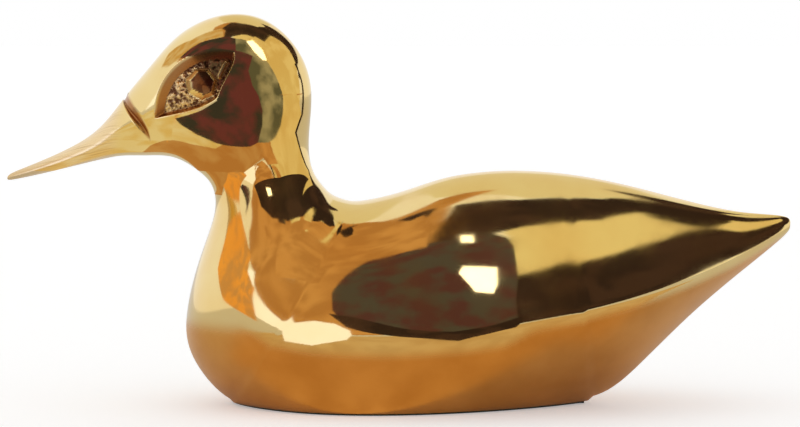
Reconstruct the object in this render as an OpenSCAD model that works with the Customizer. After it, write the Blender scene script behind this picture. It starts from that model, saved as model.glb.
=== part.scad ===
// Brass duck ornament: a hollow body in two half castings, a solid head and a felt pad.
// Millimetres. The bill points to -X and the tail to +X, the table is z = 0, and the
// origin is in the middle of the figure's length and width. The felt raises the metal.

/* [Figure] */
// Length from the tip of the bill to the tip of the tail
figure_l = 200; // [190:1:212]
// Height of the crown above the metal's own base
crown_h = 99.6; // [96:0.1:104]
// Greatest width of the body, at its chine
beam = 65; // [58:0.5:72]
// Thickness of the cast wall
wall = 3.5; // [2.6:0.1:4.2]
// How much thicker the wall is before and behind the spigot
neck_extra = 4; // [3.5:0.1:5]

/* [Body] */
// Length of the flat base
base_l = 92; // [84:0.5:98]
// Width of the flat base
base_w = 49; // [42:0.5:54]
// How far the base's widest place lies ahead of the middle of the figure
base_wide_x = 5.5; // [2:0.5:9]
// How far the front end of the base lies ahead of the middle of the figure
base_front = 43.5; // [41:0.5:45]
// Height of the back at its highest
back_h = 59.2; // [56:0.1:62]
// How far that highest place lies behind the middle of the figure
back_x = 28; // [22:0.5:34]
// Height of the low place between back and neck
saddle_h = 51.5; // [49:0.1:53]
// How far that low place lies ahead of the middle of the figure
saddle_x = 12; // [9:0.5:15]
// Height of the middle of the tail's tip
tail_h = 44.8; // [42:0.1:48]
// Thickness of the tail's tip
tail_t = 6; // [4:0.5:8]
// How far the breast lies ahead of the middle of the figure
breast_x = 54.7; // [53:0.1:57]
// Height of the breast's foremost place
breast_h = 21; // [19:0.5:23]
// Share of the side's height at which the chine runs amidships
chine_share = 0.37; // [0.32:0.01:0.42]

/* [Neck and head] */
// Width of the neck at its joint
neck_w = 21.6; // [20:0.1:24]
// How far the throat lies ahead of the middle of the figure
throat_x = 47.6; // [46:0.1:49]
// Height of the throat, at the neck joint
throat_h = 54.3; // [53:0.1:56]
// How far the nape lies ahead of the middle of the figure
nape_x = 23.2; // [21:0.1:25]
// Height of the nape, at the neck joint
nape_h = 65.2; // [64:0.1:67]
// How far the crown lies ahead of the middle of the figure
crown_x = 41.8; // [39:0.1:44]
// Width of the head across the cheeks
head_w = 27.2; // [25:0.1:30]
// How far the back end of the chin lies ahead of the middle of the figure
chin_x = 61; // [59:0.1:63]
// Height of the chin above the base
chin_h = 63.2; // [62:0.1:64.5]

/* [Bill] */
// Length of the bill's upper edge, from tip to forehead
bill_l = 30; // [27:0.5:33]
// Height of the bill where it leaves the head
bill_t = 15.2; // [13:0.1:17]
// Width of the bill where it leaves the head
bill_w = 16; // [13:0.1:18]
// Height of the tip of the bill
bill_h = 57.1; // [56:0.1:59]
// Thickness of the tip of the bill
tip_t = 0.8; // [0.6:0.1:1.2]

/* [Neck joint] */
// Diameter of the head's spigot
spigot_d = 14; // [12:0.1:15]
// Length of the spigot below the joint
spigot_l = 9; // [7:0.5:12]
// Gap left round the spigot for the brazing metal
braze_gap = 0.1; // [0.05:0.01:0.2]
// Width of the braze ring, as a share of one loft interval
braze_share = 0.6; // [0.4:0.05:0.8]
// Height of the braze bead inside the seam
bead_h = 1.2; // [0.8:0.1:1.6]

/* [Carving] */
// How far the eye's middle lies behind the tip of the bill
eye_back = 48; // [46:0.5:50]
// How far the eye's middle lies below the crown
eye_below = 17.6; // [17:0.1:19]
// How far the eye's own frame lies inside the cheek
eye_sunk = 0.6; // [0.3:0.1:0.9]
// Depth of the eye's floor below that frame
eye_depth = 1.9; // [1.4:0.1:2.4]
// Width of the pupil at its foot
pupil_d = 8.4; // [7:0.1:9]
// How far the faceted pupil stands up from the eye's floor
pupil_rise = 1.5; // [1:0.1:1.8]
// Depth of the groove behind the bill
groove_depth = 1.3; // [0.9:0.1:1.6]

/* [Felt] */
// Thickness of the felt
felt_t = 0.6; // [0.4:0.1:1]
// How far the felt's edge lies inside the base's edge
felt_inset = 1.2; // [0.8:0.1:2]

/* [Resolution] */
// Stations between two rows of the loft
steps = 3; // [2:1:3]
// Points from the keel to the chine
low_steps = 8; // [6:1:8]
// Points from the chine to the back
high_steps = 12; // [10:1:12]

/* [Hidden] */

tail_x = figure_l / 2;
bill_x = -figure_l / 2;
base_rear = base_l - base_front;

// Named places on the figure's outline, seen from the side: the lower line and then the upper line
TAIL = [tail_x, tail_h];
STERN = [base_rear, 0];
FRONT = [-base_front, 0];
BREAST = [-breast_x, breast_h];
THROAT = [-throat_x, throat_h];
CHIN = [-chin_x, chin_h];
ROOT = [bill_x + bill_l - 2.2, chin_h];
TIP = [bill_x, bill_h];
BACK = [back_x, back_h];
SADDLE = [-saddle_x, saddle_h];
NAPE = [-nape_x, nape_h];
CROWN = [-crown_x, crown_h];
BROW = [bill_x + bill_l, chin_h + bill_t];
TIP_TOP = [bill_x, bill_h + tip_t];

// A place part of the way from a to b, with shares of its own along x and z
function way(a, b, along, up) = [a[0] + (b[0] - a[0]) * along, a[1] + (b[1] - a[1]) * up];
// A half width part of the way from body to neck, from neck to head, from head to bill and along the bill
function slim(t) = (beam + (neck_w - beam) * t) / 2;
function swell(t) = (neck_w + (head_w - neck_w) * t) / 2;
function narrow(t) = (head_w + (bill_w - head_w) * t) / 2;
function taper(t) = (bill_w + (tip_t * 1.4 - bill_w) * t) / 2;

// The loft's rows, from the tail's tip to the bill's tip. A row is a cut through the figure: the line from
// its lower point to its upper point, seen from the side, and the half width at the chine. It holds both
// points, the half width, the chine's share of the line, the chine's roundness and the back's fullness.
// Roundness 1 is a crease and 2 is round. Fullness 2 is an ellipse and less is a ridge.
function row(lower, upper, half, share, edge, full) =
    [lower[0], lower[1], upper[0], upper[1], half, share, edge, full];
TAIL_ROWS = [
    row(TAIL - [0.05, 0.14] * tail_t, TAIL - [0.03, -0.05] * tail_t, tail_t * 0.16, 0.4, 1.6, 2),
    row(TAIL - [0.32, 0.49] * tail_t, TAIL + [-0.13, 0.48] * tail_t, tail_t * 0.45, 0.38, 1.5, 2),
    row(way(TAIL, STERN, 0.233, 0.252), way(TAIL, BACK, 0.167, 0.26), slim(1.11), 0.33, 1.3, 2),
    row(way(TAIL, STERN, 0.476, 0.489), way(TAIL, BACK, 0.361, 0.465), slim(0.75), 0.38, 1.25, 2),
    row(way(TAIL, STERN, 0.718, 0.761), way(TAIL, BACK, 0.583, 0.755), slim(0.42), 0.42, 1.25, 2)
];
BASE_ROWS = [
    row(way(TAIL, STERN, 0.903, 0.945), way(TAIL, BACK, 0.764, 0.925), slim(0.225),
        chine_share + 0.07, 1.25, 2),
    row(way(STERN, FRONT, 0.065, 0), way(TAIL, BACK, 0.889, 0.99), slim(0.12), chine_share + 0.05, 1.25, 2),
    row(way(STERN, FRONT, 0.25, 0), way(BACK, SADDLE, 0.075, 0), slim(0.04), chine_share + 0.01, 1.25, 2),
    row(way(STERN, FRONT, 0.49, 0), way(BACK, SADDLE, 0.4, 0.2), slim(0), chine_share - 0.01, 1.25, 2),
    row(way(STERN, FRONT, 0.783, 0), way(BACK, SADDLE, 0.675, 0.68), slim(0), chine_share + 0.01, 1.3, 2),
    row(way(STERN, FRONT, 0.902, 0), way(BACK, SADDLE, 0.888, 0.94), slim(0.04), chine_share + 0.04, 1.4, 2),
    row(way(FRONT, BREAST, 0, 0.01), SADDLE, slim(0.12), chine_share + 0.06, 1.55, 2)
];
NECK_ROWS = [
    row(way(FRONT, BREAST, 0.795, 0.5), way(SADDLE, NAPE, 0.25, 0.05), slim(0.24), 0.43, 1.8, 2),
    row(BREAST, way(SADDLE, NAPE, 0.473, 0.125), slim(0.36), 0.44, 2, 2),
    row(way(BREAST, THROAT, 0.45, 0.45), way(SADDLE, NAPE, 0.679, 0.29), slim(0.6), 0.46, 2, 2),
    row(way(BREAST, THROAT, 1.04, 0.8), way(SADDLE, NAPE, 0.92, 0.58), slim(0.85), 0.48, 2, 2),
    row(THROAT, NAPE, slim(1), 0.5, 2, 2)
];
HEAD_ROWS = [
    row(way(THROAT, CHIN, 0.16, 0.39), way(NAPE, CROWN, -0.016, 0.192), swell(0.07), 0.5, 2, 2),
    row(way(THROAT, CHIN, 0.463, 0.745), way(NAPE, CROWN, -0.032, 0.48), swell(0.51), 0.5, 2, 2),
    row(way(THROAT, CHIN, 0.746, 0.944), way(NAPE, CROWN, 0.194, 0.759), swell(0.86), 0.5, 2, 2.1),
    row(CHIN, way(NAPE, CROWN, 0.65, 0.962), swell(1), 0.5, 2, 2.1),
    row(way(CHIN, ROOT, 0.25, 0), way(CROWN, BROW, 0.149, 0.037), narrow(0.05), 0.5, 2, 2.1),
    row(way(CHIN, ROOT, 0.482, 0), way(CROWN, BROW, 0.504, 0.256), narrow(0.27), 0.5, 2, 2),
    row(way(CHIN, ROOT, 0.714, 0), way(CROWN, BROW, 0.762, 0.635), narrow(0.61), 0.5, 2, 1.9),
    row(way(ROOT, TIP, 0, 0.03), BROW, taper(0), 0.5, 2, 1.8),
    row(way(ROOT, TIP, 0.173, 0.19), way(BROW, TIP_TOP, 0.213, 0.395), taper(0.21), 0.48, 2, 1.7),
    row(way(ROOT, TIP, 0.424, 0.475), way(BROW, TIP_TOP, 0.467, 0.635), taper(0.435), 0.45, 2, 1.6),
    row(way(ROOT, TIP, 0.748, 0.82), way(BROW, TIP_TOP, 0.767, 0.836), taper(0.66), 0.42, 2, 1.7),
    row(way(ROOT, TIP, 0.957, 1.01), way(BROW, TIP_TOP, 0.96, 0.95), taper(0.887), 0.45, 2, 2),
    row(TIP, TIP_TOP, taper(1), 0.5, 2, 2)
];
ROWS = concat(TAIL_ROWS, BASE_ROWS, NECK_ROWS, HEAD_ROWS);
LAST = len(ROWS) - 1;

// Rows at which pieces begin and end
hollow_row = 3;
neck_row = len(TAIL_ROWS) + len(BASE_ROWS) + len(NECK_ROWS) - 1;
head_row = neck_row + braze_share;

// The control rows stand off the real rows by a sixth of the bend there: the curve then meets the real rows
function control(i) =
    i < 0 ? 2 * ROWS[0] - ROWS[1] :
    i > LAST ? 2 * ROWS[LAST] - ROWS[LAST - 1] :
    i == 0 || i == LAST ? ROWS[i] :
    ROWS[i] + (2 * ROWS[i] - ROWS[i - 1] - ROWS[i + 1]) / 6;

// A uniform cubic B-spline through the rows: the row at the loft's parameter u
function row_at(u) =
    let (i = min(floor(u), LAST - 1), f = u - i)
    (pow(1 - f, 3) * control(i - 1) + (3 * f * f * f - 6 * f * f + 4) * control(i)
        + (3 * f * f + 3 * f + 1 - 3 * f * f * f) * control(i + 1) + f * f * f * control(i + 2)) / 6;

// The base's outline: its half width at x, with ends drawn in to points
function base_reach(x) =
    let (ahead = -base_wide_x - x)
    ahead > 0 ? ahead / (base_front - base_wide_x) : -ahead / (base_rear + base_wide_x);
function base_half(x) =
    let (far = min(1, base_reach(x)), ahead = x < -base_wide_x)
    base_w / 2 * pow(1 - pow(far, ahead ? 2.3 : 1.8), ahead ? 0.8 : 0.9);
function on_base(r) = base_reach(r[0]) < 1 && r[1] < breast_h / 3;

// One superellipse arc from the lower point to the chine and one from there to the back. j counts the points.
function section_point(r, base, j) =
    let (low = j <= low_steps,
        turn = low ? 90 * j / low_steps : 90 * (j - low_steps) / high_steps,
        share = low ? r[5] * (1 - pow(cos(turn), 2 / r[6])) : r[5] + (1 - r[5]) * pow(sin(turn), 2 / r[6]),
        half = low ? base + (r[4] - base) * pow(sin(turn), 2 / r[6]) : r[4] * pow(cos(turn), 2 / r[7]))
    [r[0] + (r[2] - r[0]) * share, half, r[1] + (r[3] - r[1]) * share];

// A row settled on the table: inside the base's outline the lower point is at the base's level
function settled(r) = let (z = on_base(r) ? 0 : max(0, r[1])) [for (k = [0:7]) k == 1 ? z : r[k]];
function outer_section(u) =
    let (r = settled(row_at(u)), base = on_base(r) ? base_half(r[0]) : 0)
    [for (j = [0:low_steps + high_steps]) section_point(r, base, j)];

// The inner skin: the same row drawn in by the wall. It is open under the base, whose outline is drawn in
function drawn_in(r, t) =
    let (span = norm([r[2] - r[0], r[3] - r[1]]), ux = (r[2] - r[0]) / span, uz = (r[3] - r[1]) / span,
        open = on_base(r), k = 1 - t / (base_w / 2))
    [open ? (r[0] + base_wide_x) * k - base_wide_x : r[0] + ux * t, open ? 0 : r[1] + uz * t,
        r[2] - ux * t, r[3] - uz * t, r[4] - t, r[5], r[6], r[7]];
// Towards the joint the wall thickens, so that the spigot's bore runs in solid metal.
function thicker(u) =
    let (near = max(0, min(1, (u - neck_row + 2.6) / 1.6)))
    neck_extra * near * near * (3 - 2 * near);
function inner_section(u) =
    let (r = settled(row_at(u)), base = on_base(r) ? base_half(r[0]) * (1 - wall / (base_w / 2)) : 0,
        q = drawn_in(r, wall + thicker(u)), half = r[4] - wall - thicker(u) * 0.4,
        sides = [q[0], q[1], q[2], q[3], half, q[5], q[6], q[7]])
    [for (j = [0:low_steps + high_steps]) section_point(sides, base, j)];

// The point of the skin at share s of a row's line, on the side of +Y
function skin(u, s) =
    let (r = row_at(u), low = s < r[5],
        rise = low ? acos(pow(1 - s / r[5], r[6] / 2)) : asin(pow((s - r[5]) / (1 - r[5]), r[6] / 2)),
        half = low ? r[4] * pow(sin(rise), 2 / r[6]) : r[4] * pow(cos(rise), 2 / r[7]))
    [r[0] + (r[2] - r[0]) * s, half, r[1] + (r[3] - r[1]) * s];
// The row whose line passes through a place of the side view, found by halving, and the place's share of
// that line
function beside(u, p) =
    let (r = row_at(u))
    (r[2] - r[0]) * (p[1] - r[1]) - (r[3] - r[1]) * (p[0] - r[0]);
function row_through(p, a, b, n) =
    let (m = (a + b) / 2)
    n == 0 ? m : beside(m, p) * beside(a, p) > 0 ? row_through(p, m, b, n - 1) : row_through(p, a, m, n - 1);
function share_at(u, p) =
    let (r = row_at(u), line = [r[2] - r[0], r[3] - r[1]])
    ([p[0] - r[0], p[1] - r[1]] * line) / (line * line);
function middle(u) = let (r = row_at(u)) [(r[0] + r[2]) / 2, 0, (r[1] + r[3]) / 2];
// The same point pushed out from the middle of its row by t, or in where t is negative
function pushed(u, s, t) = let (p = skin(u, s), away = p - middle(u)) p + away / norm(away) * t;

function bezier(p, t) =
    pow(1 - t, 3) * p[0] + 3 * t * pow(1 - t, 2) * p[1] + 3 * t * t * (1 - t) * p[2] + t * t * t * p[3];

function stations(from, to, per) =
    let (n = ceil((to - from) * per))
    [for (i = [0:n]) from + (to - from) * i / n];
function flat(lists) = [for (l = lists) each l];
function to_side(points, side) = [for (p = points) [p[0], p[1] * side, p[2]]];
function turned_over(faces) = [for (f = faces) [for (k = [len(f) - 1:-1:0]) f[k]]];

// A half casting: outer and inner skin, the seam faces on the middle plane, the rim and the neck's end.
module half_shell(side) {
    us = stations(0, neck_row, steps);
    m = low_steps + high_steps;
    n = len(us) - 1;
    start = hollow_row * steps;
    outer = [for (u = us) outer_section(u)];
    inner = [for (i = [start:n]) inner_section(us[i])];
    off = (n + 1) * (m + 1);
    o = function(i, j) i * (m + 1) + j;
    h = function(i, j) off + (i - start) * (m + 1) + j;
    faces = concat(
        [for (i = [0:n - 1], j = [0:m - 1]) each [
            [o(i, j), o(i + 1, j), o(i + 1, j + 1)],
            [o(i, j), o(i + 1, j + 1), o(i, j + 1)]]],
        [for (i = [start:n - 1], j = [0:m - 1]) each [
            [h(i, j), h(i + 1, j + 1), h(i + 1, j)],
            [h(i, j), h(i, j + 1), h(i + 1, j + 1)]]],
        [for (i = [start:n - 1]) each [
            [o(i, m), o(i + 1, m), h(i + 1, m), h(i, m)],
            [o(i, 0), h(i, 0), h(i + 1, 0), o(i + 1, 0)]]],
        [for (i = [0:start - 2]) [o(i, 0), o(i, m), o(i + 1, m), o(i + 1, 0)]],
        [[o(start - 1, 0), o(start - 1, m), o(start, m), h(start, m), h(start, 0), o(start, 0)]],
        [[for (j = [0:m]) o(0, j)]],
        [[for (j = [m:-1:0]) h(start, j)]],
        [for (j = [0:m - 1]) [o(n, j), h(n, j), h(n, j + 1), o(n, j + 1)]]
    );
    points = to_side(concat(flat(outer), flat(inner)), side);
    polyhedron(points, side > 0 ? turned_over(faces) : faces, convexity = 8);
}

// A closed loft of both sides between two places of the figure
module loft(from, to, per) {
    us = stations(from, to, per);
    m = low_steps + high_steps;
    ring = 2 * m;
    n = len(us) - 1;
    points = [for (u = us) let (s = outer_section(u)) each
        concat(s, [for (j = [m - 1:-1:1]) [s[j][0], -s[j][1], s[j][2]]])];
    p = function(i, j) i * ring + j % ring;
    polyhedron(points, concat(
        [[for (j = [ring - 1:-1:0]) p(0, j)]],
        [[for (j = [0:ring - 1]) p(n, j)]],
        [for (i = [0:n - 1], j = [0:ring - 1]) each [
            [p(i, j), p(i + 1, j + 1), p(i + 1, j)],
            [p(i, j), p(i, j + 1), p(i + 1, j + 1)]]]
    ), convexity = 8);
}

// The neck joint's own frame: its middle, with the axis square to the joint
joint_r = row_at(neck_row);
joint_tilt = atan2(joint_r[3] - joint_r[1], joint_r[2] - joint_r[0]);
module at_joint() {
    translate([(joint_r[0] + joint_r[2]) / 2, 0, (joint_r[1] + joint_r[3]) / 2])
        rotate([0, -joint_tilt, 0]) children();
}

// A half casting with its half of the spigot's bore
module bored_shell(side) {
    translate([0, 0, felt_t]) difference() {
        half_shell(side);
        at_joint() translate([0, 0, -spigot_l - 1])
            cylinder(h = spigot_l + 4, d = spigot_d + 2 * braze_gap, $fn = 48);
    }
}
module left_shell() {
    color("goldenrod") bored_shell(-1);
}
module right_shell() {
    color("goldenrod") bored_shell(1);
}

// The groove behind the bill: a wedge swept over the ridge and down both cheeks. Its course is a curve in the
// loft's own measures, the parameter u and the share s of the row's line.
GROOVE = [[neck_row + 8.15, 1], [neck_row + 7.7, 0.5], [neck_row + 6.4, 0.2], [neck_row + 5.4, 0.11]];
groove_steps = 14;
groove_over = 1.5;
function groove_half(t) = (0.14 + 1.5 * t * (1 - t)) * (1 - pow(t, 4)) + 0.01;
function groove_cut(t) =
    let (at = bezier(GROOVE, t), w = groove_half(t), s = min(1, at[1]))
    [pushed(at[0] + w, s, groove_over), pushed(at[0] - w, s, groove_over),
        pushed(at[0] + w * 0.4, s, -groove_depth * (1 - t * t * t))];
module bill_groove() {
    half = [for (i = [0:groove_steps]) groove_cut(i / groove_steps)];
    rings = concat([for (i = [groove_steps:-1:1]) to_side(half[i], -1)], half);
    n = len(rings) - 1;
    p = function(i, j) i * 3 + j % 3;
    polyhedron(flat(rings), concat([[p(0, 0), p(0, 1), p(0, 2)]], [[p(n, 2), p(n, 1), p(n, 0)]],
        [for (i = [0:n - 1], j = [0:2]) each [
            [p(i, j), p(i + 1, j), p(i + 1, j + 1)],
            [p(i, j), p(i + 1, j + 1), p(i, j + 1)]]]));
}

// The carved eye, in a frame on the cheek: x runs to the tail, y up and z out of the cheek. The cut's mouth
// and its floor are closed outlines of three curves each: the brow, the rear edge and the lower lid.
EYE_MOUTH = [
    [[-9.8, -8.8], [-9.6, 2.5], [-2, 9.6], [9.9, 8.6]],
    [[9.9, 8.6], [11.4, 5.5], [8, 1.5], [6.1, -3.7]],
    [[6.1, -3.7], [2.5, -6.6], [-4, -7.6], [-9.8, -8.8]]
];
EYE_FLOOR = [
    [[-8.4, -7.6], [-7.4, 1], [-2.5, 6.4], [9.4, 6.1]],
    [[9.4, 6.1], [9.8, 4.5], [7.1, 1.2], [5.4, -3.1]],
    [[5.4, -3.1], [2.2, -5.8], [-4, -6.5], [-8.4, -7.6]]
];
eye_x = bill_x + eye_back;
eye_z = crown_h - eye_below;
eye_u = row_through([eye_x, eye_z], neck_row, LAST, 16);
eye_y = skin(eye_u, share_at(eye_u, [eye_x, eye_z]))[1] - eye_sunk;
eye_lean = 13;
eye_turn = 8;
eye_fall = 1.6;
eye_curve = 30;
pupil_x = 2;
pupil_y = 0;
pupil_root = 3;
function outline(curves, n) = [for (c = curves, i = [0:n - 1]) bezier(c, i / n)];
module at_eye(side) {
    translate([eye_x, side * eye_y, eye_z]) mirror([0, side > 0 ? 1 : 0, 0])
        rotate([90 - eye_lean, 0, -eye_turn]) children();
}
module eye_cut() {
    difference() {
        hull() {
            translate([0, 0, 0.2]) linear_extrude(4) polygon(outline(EYE_MOUTH, 8));
            translate([0, 0, -eye_depth - eye_fall]) linear_extrude(0.1) polygon(outline(EYE_FLOOR, 8));
        }
        translate([0, 0, -eye_depth - eye_curve]) sphere(r = eye_curve, $fn = 96);
    }
}
// The pupil: a faceted boss that stands on the floor of the eye
module pupil() {
    translate([pupil_x, pupil_y, -eye_depth]) rotate([0, 0, 12]) {
        cylinder(h = pupil_rise, d1 = pupil_d, d2 = pupil_d * 0.6, $fn = 7);
        translate([0, 0, -pupil_root]) cylinder(h = pupil_root, d = pupil_d, $fn = 7);
    }
}

module head() {
    color("gold") translate([0, 0, felt_t]) union() {
        difference() {
            loft(head_row, LAST, steps);
            bill_groove();
            for (side = [-1, 1]) at_eye(side) eye_cut();
        }
        for (side = [-1, 1]) at_eye(side) pupil();
        at_joint() translate([0, 0, -spigot_l]) cylinder(h = spigot_l + 6, d = spigot_d, $fn = 48);
    }
}
module neck_braze() {
    color("khaki") translate([0, 0, felt_t]) difference() {
        loft(neck_row, head_row, 4);
        at_joint() translate([0, 0, -spigot_l]) cylinder(h = 2 * spigot_l, d = spigot_d, $fn = 48);
    }
}

// A bead of brazing metal on the inner skin, astride the seam: along the back, or along the lower line
module bead(from, to, back) {
    us = stations(from, to, steps);
    m = low_steps + high_steps;
    n = len(us) - 1;
    rings = [for (u = us) let (
        r = inner_section(u), edge = back ? r[m - 1] : r[1],
        mid = back ? r[m] : r[0], far = back ? r[0] : r[m],
        drop = (far - mid) / norm(far - mid) * bead_h)
        [edge, mid, [edge[0], -edge[1], edge[2]],
            [mid[0], -edge[1] / 2, mid[2]] + drop, [mid[0], edge[1] / 2, mid[2]] + drop]];
    p = function(i, j) i * 5 + j % 5;
    sides = [for (i = [0:n - 1], j = [0:4]) each j == 0 ? [
            [p(i, j), p(i + 1, j), p(i, j + 1)],
            [p(i + 1, j), p(i + 1, j + 1), p(i, j + 1)]] : [
            [p(i, j), p(i + 1, j), p(i + 1, j + 1)],
            [p(i, j), p(i + 1, j + 1), p(i, j + 1)]]];
    faces = concat([[for (j = [0:4]) p(0, j)]], [[for (j = [4:-1:0]) p(n, j)]], sides);
    polyhedron(flat(rings), back ? faces : turned_over(faces), convexity = 6);
}
module seam_braze() {
    color("peru") translate([0, 0, felt_t]) {
        bead(hollow_row + 1, neck_row - 3, true);
        bead(len(TAIL_ROWS) + len(BASE_ROWS), neck_row - 3, false);
    }
}
module felt_pad() {
    xs = [for (i = [0:40]) let (a = 180 * i / 40) (base_rear - base_front) / 2 - base_l / 2 * cos(a)];
    color("darkgreen") linear_extrude(felt_t) offset(delta = -felt_inset)
        polygon(concat([for (x = xs) [x, base_half(x)]], [for (i = [39:-1:1]) [xs[i], -base_half(xs[i])]]));
}

left_shell();
right_shell();
head();
seam_braze();
neck_braze();
felt_pad();
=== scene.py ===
"""Brass duck ornament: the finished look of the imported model.

The figure is one lofted form. Its skin is a function of two parameters: u runs from the tail's tip to the
bill's tip through the loft's rows, and v runs along a row's girth from the keel to the back. Sizes are in
millimetres, as on the drawing, and the meshes are written in metres.
"""
import math

import bmesh
import bpy
import numpy as np
from mathutils import Matrix, Vector


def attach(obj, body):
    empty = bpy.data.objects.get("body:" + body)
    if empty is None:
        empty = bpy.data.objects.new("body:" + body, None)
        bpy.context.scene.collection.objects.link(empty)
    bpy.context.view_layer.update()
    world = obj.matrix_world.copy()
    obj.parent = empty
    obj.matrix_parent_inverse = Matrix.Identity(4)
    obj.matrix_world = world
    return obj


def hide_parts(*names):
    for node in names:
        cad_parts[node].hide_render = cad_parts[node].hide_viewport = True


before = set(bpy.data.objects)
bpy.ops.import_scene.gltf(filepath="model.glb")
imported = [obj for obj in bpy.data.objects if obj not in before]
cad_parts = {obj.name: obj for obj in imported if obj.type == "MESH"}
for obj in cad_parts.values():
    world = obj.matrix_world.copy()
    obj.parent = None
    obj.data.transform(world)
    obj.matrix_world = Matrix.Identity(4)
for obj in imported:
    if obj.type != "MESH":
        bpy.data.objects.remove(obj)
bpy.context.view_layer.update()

MM = 0.001
FLIP = np.array([1.0, -1.0, 1.0])

# Driving sizes of the figure, in millimetres
FIGURE_L, CROWN_H, BEAM, WALL, NECK_EXTRA = 200.0, 99.6, 65.0, 3.5, 4.0
BASE_L, BASE_W, BASE_WIDE_X, BASE_FRONT = 92.0, 49.0, 5.5, 43.5
BACK_X, BACK_H, SADDLE_X, SADDLE_H = 28.0, 59.2, 12.0, 51.5
TAIL_H, TAIL_T, BREAST_X, BREAST_H, CHINE_SHARE = 44.8, 6.0, 54.7, 21.0, 0.37
NECK_W, THROAT_X, THROAT_H, NAPE_X, NAPE_H = 21.6, 47.6, 54.3, 23.2, 65.2
CROWN_X, HEAD_W, CHIN_X, CHIN_H = 41.8, 27.2, 61.0, 63.2
BILL_L, BILL_T, BILL_W, BILL_H, TIP_T = 30.0, 15.2, 16.0, 57.1, 0.8
SPIGOT_D, SPIGOT_L, BRAZE_GAP, BRAZE_SHARE = 14.0, 9.0, 0.1, 0.6
FELT_T, FELT_INSET = 0.6, 1.2

TAIL_X, BILL_X = FIGURE_L / 2, -FIGURE_L / 2
BASE_REAR = BASE_L - BASE_FRONT

# Named places on the figure's outline, seen from the side as (x, z)
TAIL, STERN, FRONT = np.array([TAIL_X, TAIL_H]), np.array([BASE_REAR, 0.0]), np.array([-BASE_FRONT, 0.0])
BREAST, THROAT = np.array([-BREAST_X, BREAST_H]), np.array([-THROAT_X, THROAT_H])
CHIN, ROOT = np.array([-CHIN_X, CHIN_H]), np.array([BILL_X + BILL_L - 2.2, CHIN_H])
TIP, TIP_TOP = np.array([BILL_X, BILL_H]), np.array([BILL_X, BILL_H + TIP_T])
BACK, SADDLE = np.array([BACK_X, BACK_H]), np.array([-SADDLE_X, SADDLE_H])
NAPE, CROWN = np.array([-NAPE_X, NAPE_H]), np.array([-CROWN_X, CROWN_H])
BROW = np.array([BILL_X + BILL_L, CHIN_H + BILL_T])


def way(a, b, along, up):
    """A place part of the way from a to b: a + (b - a) times its own share along x and along z."""
    return a + (b - a) * np.array([along, up])


def slim(t):
    """Half width part of the way from the body to the neck."""
    return (BEAM + (NECK_W - BEAM) * t) / 2


def swell(t):
    """Half width part of the way from the neck to the head."""
    return (NECK_W + (HEAD_W - NECK_W) * t) / 2


def narrow(t):
    """Half width part of the way from the head to the bill's root."""
    return (HEAD_W + (BILL_W - HEAD_W) * t) / 2


def taper(t):
    """Half width part of the way from the bill's root to its tip."""
    return (BILL_W + (TIP_T * 1.4 - BILL_W) * t) / 2


def row(lower, upper, half, share, edge, full):
    """One row of the loft: lower and upper point, half width, the chine's share, its roundness, the
    fullness."""
    return [*lower, *upper, half, share, edge, full]


TAIL_ROWS = [
    row(TAIL - np.array([0.05, 0.14]) * TAIL_T, TAIL + np.array([-0.03, 0.05]) * TAIL_T,
        TAIL_T * 0.16, 0.4, 1.6, 2),
    row(TAIL - np.array([0.32, 0.49]) * TAIL_T, TAIL + np.array([-0.13, 0.48]) * TAIL_T,
        TAIL_T * 0.45, 0.38, 1.5, 2),
    row(way(TAIL, STERN, 0.233, 0.252), way(TAIL, BACK, 0.167, 0.26), slim(1.11), 0.33, 1.3, 2),
    row(way(TAIL, STERN, 0.476, 0.489), way(TAIL, BACK, 0.361, 0.465), slim(0.75), 0.38, 1.25, 2),
    row(way(TAIL, STERN, 0.718, 0.761), way(TAIL, BACK, 0.583, 0.755), slim(0.42), 0.42, 1.25, 2)]
BASE_ROWS = [
    row(way(TAIL, STERN, 0.903, 0.945), way(TAIL, BACK, 0.764, 0.925),
        slim(0.225), CHINE_SHARE + 0.07, 1.25, 2),
    row(way(STERN, FRONT, 0.065, 0), way(TAIL, BACK, 0.889, 0.99), slim(0.12), CHINE_SHARE + 0.05, 1.25, 2),
    row(way(STERN, FRONT, 0.25, 0), way(BACK, SADDLE, 0.075, 0), slim(0.04), CHINE_SHARE + 0.01, 1.25, 2),
    row(way(STERN, FRONT, 0.49, 0), way(BACK, SADDLE, 0.4, 0.2), slim(0), CHINE_SHARE - 0.01, 1.25, 2),
    row(way(STERN, FRONT, 0.783, 0), way(BACK, SADDLE, 0.675, 0.68), slim(0), CHINE_SHARE + 0.01, 1.3, 2),
    row(way(STERN, FRONT, 0.902, 0), way(BACK, SADDLE, 0.888, 0.94), slim(0.04), CHINE_SHARE + 0.04, 1.4, 2),
    row(way(FRONT, BREAST, 0, 0.01), SADDLE, slim(0.12), CHINE_SHARE + 0.06, 1.55, 2)]
NECK_ROWS = [
    row(way(FRONT, BREAST, 0.795, 0.5), way(SADDLE, NAPE, 0.25, 0.05), slim(0.24), 0.43, 1.8, 2),
    row(BREAST, way(SADDLE, NAPE, 0.473, 0.125), slim(0.36), 0.44, 2, 2),
    row(way(BREAST, THROAT, 0.45, 0.45), way(SADDLE, NAPE, 0.679, 0.29), slim(0.6), 0.46, 2, 2),
    row(way(BREAST, THROAT, 1.04, 0.8), way(SADDLE, NAPE, 0.92, 0.58), slim(0.85), 0.48, 2, 2),
    row(THROAT, NAPE, slim(1), 0.5, 2, 2)]
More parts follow.
